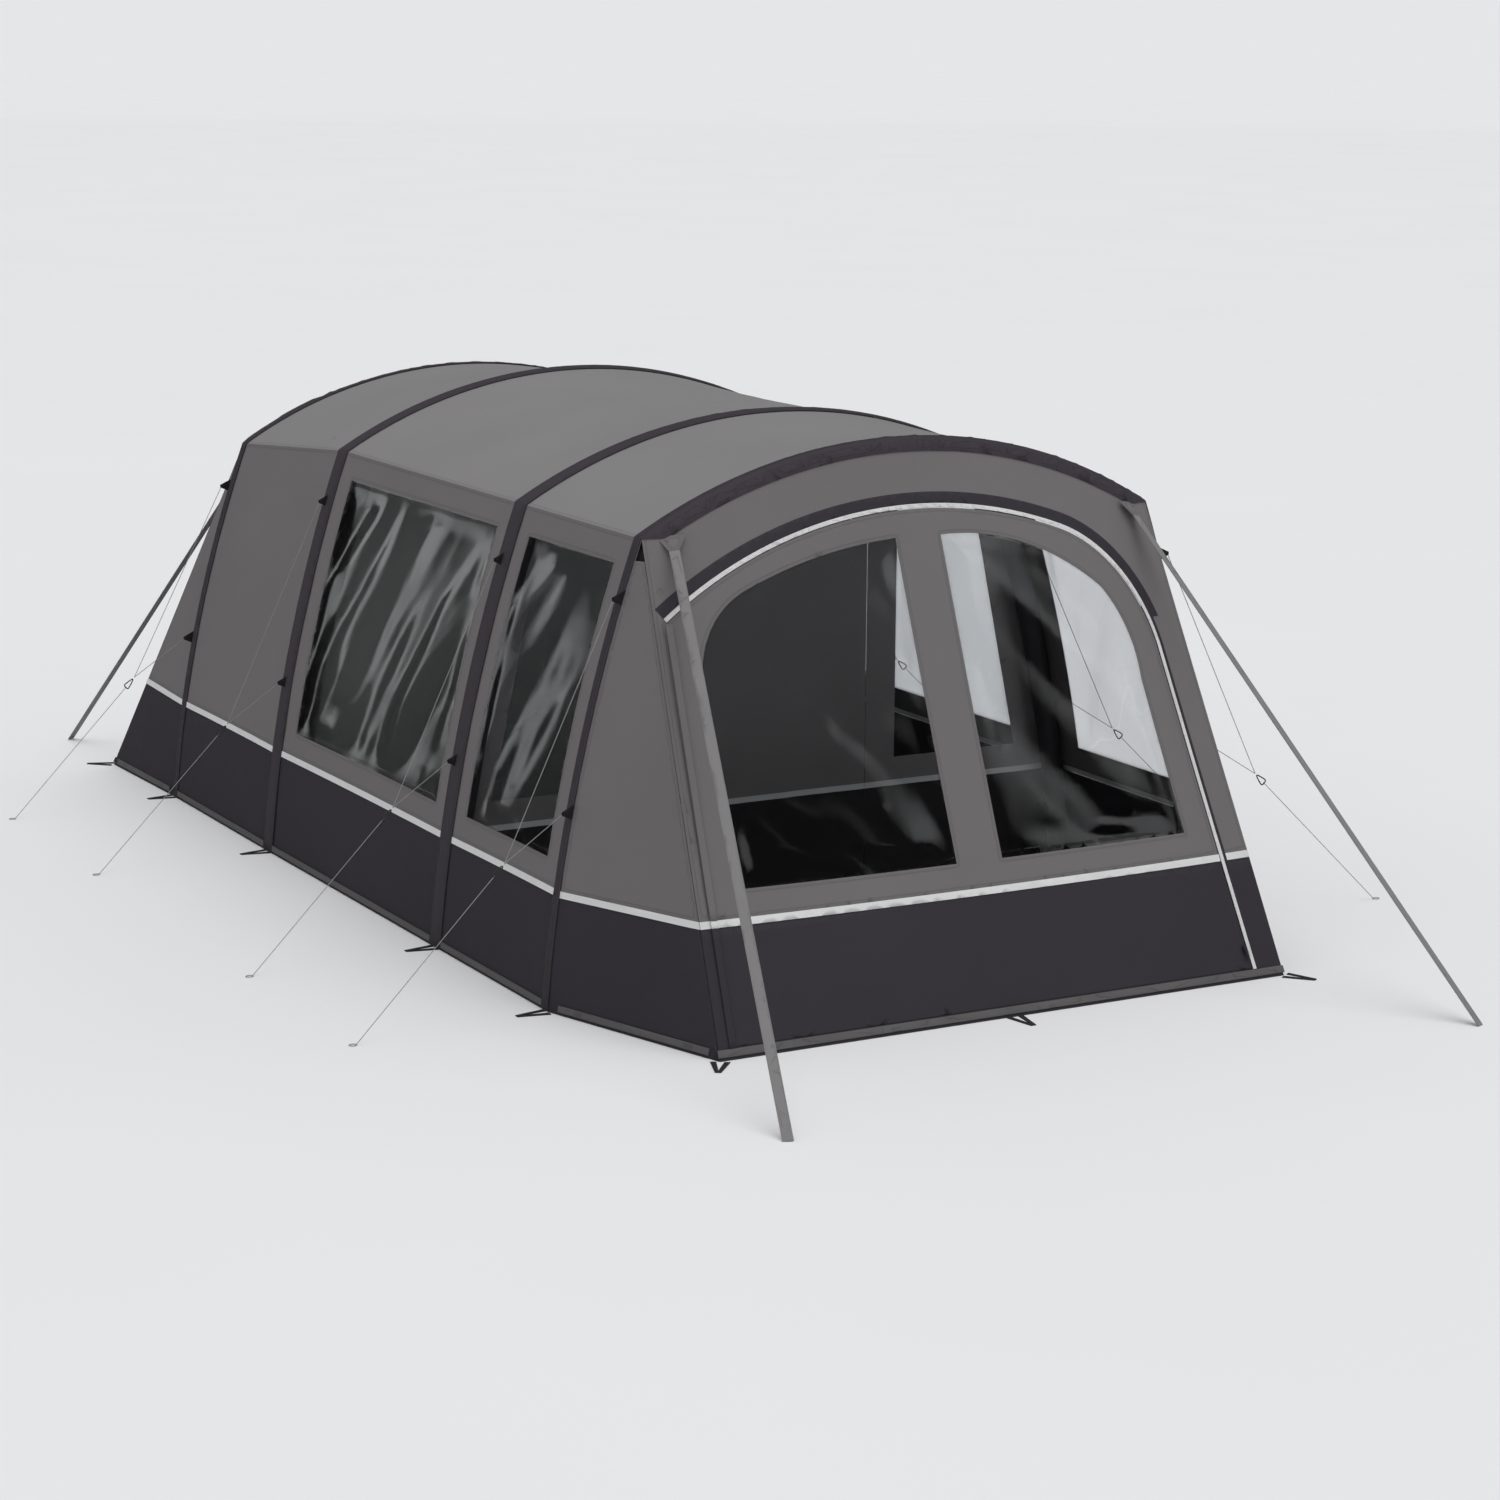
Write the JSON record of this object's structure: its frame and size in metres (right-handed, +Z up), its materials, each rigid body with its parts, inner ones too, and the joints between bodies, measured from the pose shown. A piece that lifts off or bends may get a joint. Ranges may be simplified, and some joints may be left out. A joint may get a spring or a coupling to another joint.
{
  "type": "tunnel tent",
  "caption": "Inflatable family tunnel tent on arched air beams, with a sloping zipped porch door, clear side windows, a divider, an inner bedroom, guy lines and storm straps.",
  "frame": {"origin": "centre of the tent's footprint on the ground, with the storm straps and peg loops but without the guy lines", "axes": "+Z up, the porch door faces -Y, +X to the right seen from the door"},
  "size_m": [4.753, 7.4557, 2.1033],
  "materials": {
    "roof_fabric": "coated polyester, matt",
    "wall_fabric": "coated polyester, matt",
    "skirt_fabric": "coated polyester, satin",
    "stripe_fabric": "coated polyester, satin",
    "piping": "bias tape",
    "hem_tape": "webbing tape",
    "strap_webbing": "woven webbing",
    "window_film": "clear flexible film",
    "beam_tube": "inflated film tube",
    "sleeve_fabric": "woven polyester",
    "inner_fabric": "breathable polyester",
    "floor_fabric": "woven floor sheet",
    "vent_mesh": "fine insect mesh",
    "cord": "braided cord",
    "dark_webbing": "woven webbing",
    "zip_plastic": "moulded",
    "valve_plastic": "moulded"
  },
  "bodies": {
    "tent": {"air_beam_bedroom": "beam_tube", "air_beam_living": "beam_tube", "air_beam_porch": "beam_tube", "air_beam_rear": "beam_tube", "beam_sleeves": "sleeve_fabric", "beam_stripes": "stripe_fabric", "bedroom_inner": "inner_fabric", "body_piping": "piping", "corner_gussets": "wall_fabric", "divider_wall": "wall_fabric", "divider_windows": "window_film", "front_surround": "wall_fabric", "groundsheet": "floor_fabric", "guy_bridles_left": "cord", "guy_bridles_right": "cord", "guy_line_bedroom_left": "cord", "guy_line_bedroom_right": "cord", "guy_line_living_left": "cord", "guy_line_living_right": "cord", "guy_line_porch_left": "cord", "guy_line_porch_right": "cord", "guy_line_rear_left": "cord", "guy_line_rear_right": "cord", "guy_rings": "zip_plastic", "guy_tabs": "dark_webbing", "hem_band": "hem_tape", "peg_end_loops": "cord", "peg_loops": "dark_webbing", "rear_panel": "wall_fabric", "rear_vent_mesh": "vent_mesh", "roof_bedroom": "roof_fabric", "roof_living": "roof_fabric", "roof_porch": "roof_fabric", "side_windows": "window_film", "skirt_corners": "skirt_fabric", "skirt_front": "skirt_fabric", "skirt_rear": "skirt_fabric", "skirt_sides": "skirt_fabric", "storm_straps_front": "strap_webbing", "storm_straps_rear": "strap_webbing", "strap_anchors": "strap_webbing", "valve_bodies": "valve_plastic", "wall_left": "wall_fabric", "wall_right": "wall_fabric", "zip_edging": "piping", "zip_rain_flap": "skirt_fabric"},
    "front_door": {"door_panel": "wall_fabric", "door_skirt": "skirt_fabric", "door_windows": "window_film", "door_piping": "piping"},
    "zip_slider": {"zip_slider": "zip_plastic"},
    "zip_puller": {"zip_puller": "zip_plastic"},
    "divider_door": {"divider_door": "wall_fabric"},
    "bedroom_door": {"bedroom_door": "inner_fabric"},
    "vent_hood": {"rear_vent_hood": "wall_fabric"},
    "valve_cap_porch": {"valve_cap_porch": "valve_plastic"},
    "valve_cap_living": {"valve_cap_living": "valve_plastic"},
    "valve_cap_bedroom": {"valve_cap_bedroom": "valve_plastic"},
    "valve_cap_rear": {"valve_cap_rear": "valve_plastic"}
  },
  "joints": [
    {"name": "door_swing", "type": "hinge", "parent": "tent", "child": "front_door", "pos_m": [-1.205, -2.809, 0], "axis": [0.0553, 0.4245, 0.9037], "range_deg": [-60, 0]},
    {"name": "slider_travel", "type": "slide", "parent": "front_door", "child": "zip_slider", "axis": [-0.0765, 0.4239, 0.9025], "range_m": [0, 0.5]},
    {"name": "puller_swing", "type": "hinge", "parent": "zip_slider", "child": "zip_puller", "pos_m": [1.10413, -2.76631, 0.12217], "axis": [-0.9971, -0.0325, -0.0692], "range_deg": [0, 120]},
    {"name": "divider_swing", "type": "hinge", "parent": "tent", "child": "divider_door", "pos_m": [-0.5015, -0.8315, 0], "axis": [0, 0, 1], "range_deg": [0, 90]},
    {"name": "bedroom_door_swing", "type": "hinge", "parent": "tent", "child": "bedroom_door", "pos_m": [-0.3615, 1.0335, 0], "axis": [0, 0, 1], "range_deg": [-90, 0]},
    {"name": "vent_hood_swing", "type": "hinge", "parent": "tent", "child": "vent_hood", "pos_m": [0, 2.4427, 1.445], "axis": [1, 0, 0], "range_deg": [0, 45]},
    {"name": "valve_cap_porch_swing", "type": "hinge", "parent": "tent", "child": "valve_cap_porch", "pos_m": [1.3846, -1.896, 0.342], "axis": [0, 1, 0], "range_deg": [0, 120]},
    {"name": "valve_cap_living_swing", "type": "hinge", "parent": "tent", "child": "valve_cap_living", "pos_m": [1.3846, -0.889, 0.342], "axis": [0, 1, 0], "range_deg": [0, 120]},
    {"name": "valve_cap_bedroom_swing", "type": "hinge", "parent": "tent", "child": "valve_cap_bedroom", "pos_m": [1.3846, 0.96, 0.342], "axis": [0, 1, 0], "range_deg": [0, 120]},
    {"name": "valve_cap_rear_swing", "type": "hinge", "parent": "tent", "child": "valve_cap_rear", "pos_m": [1.37589, 2.166, 0.342], "axis": [0, 1, 0], "range_deg": [0, 120]}
  ]
}
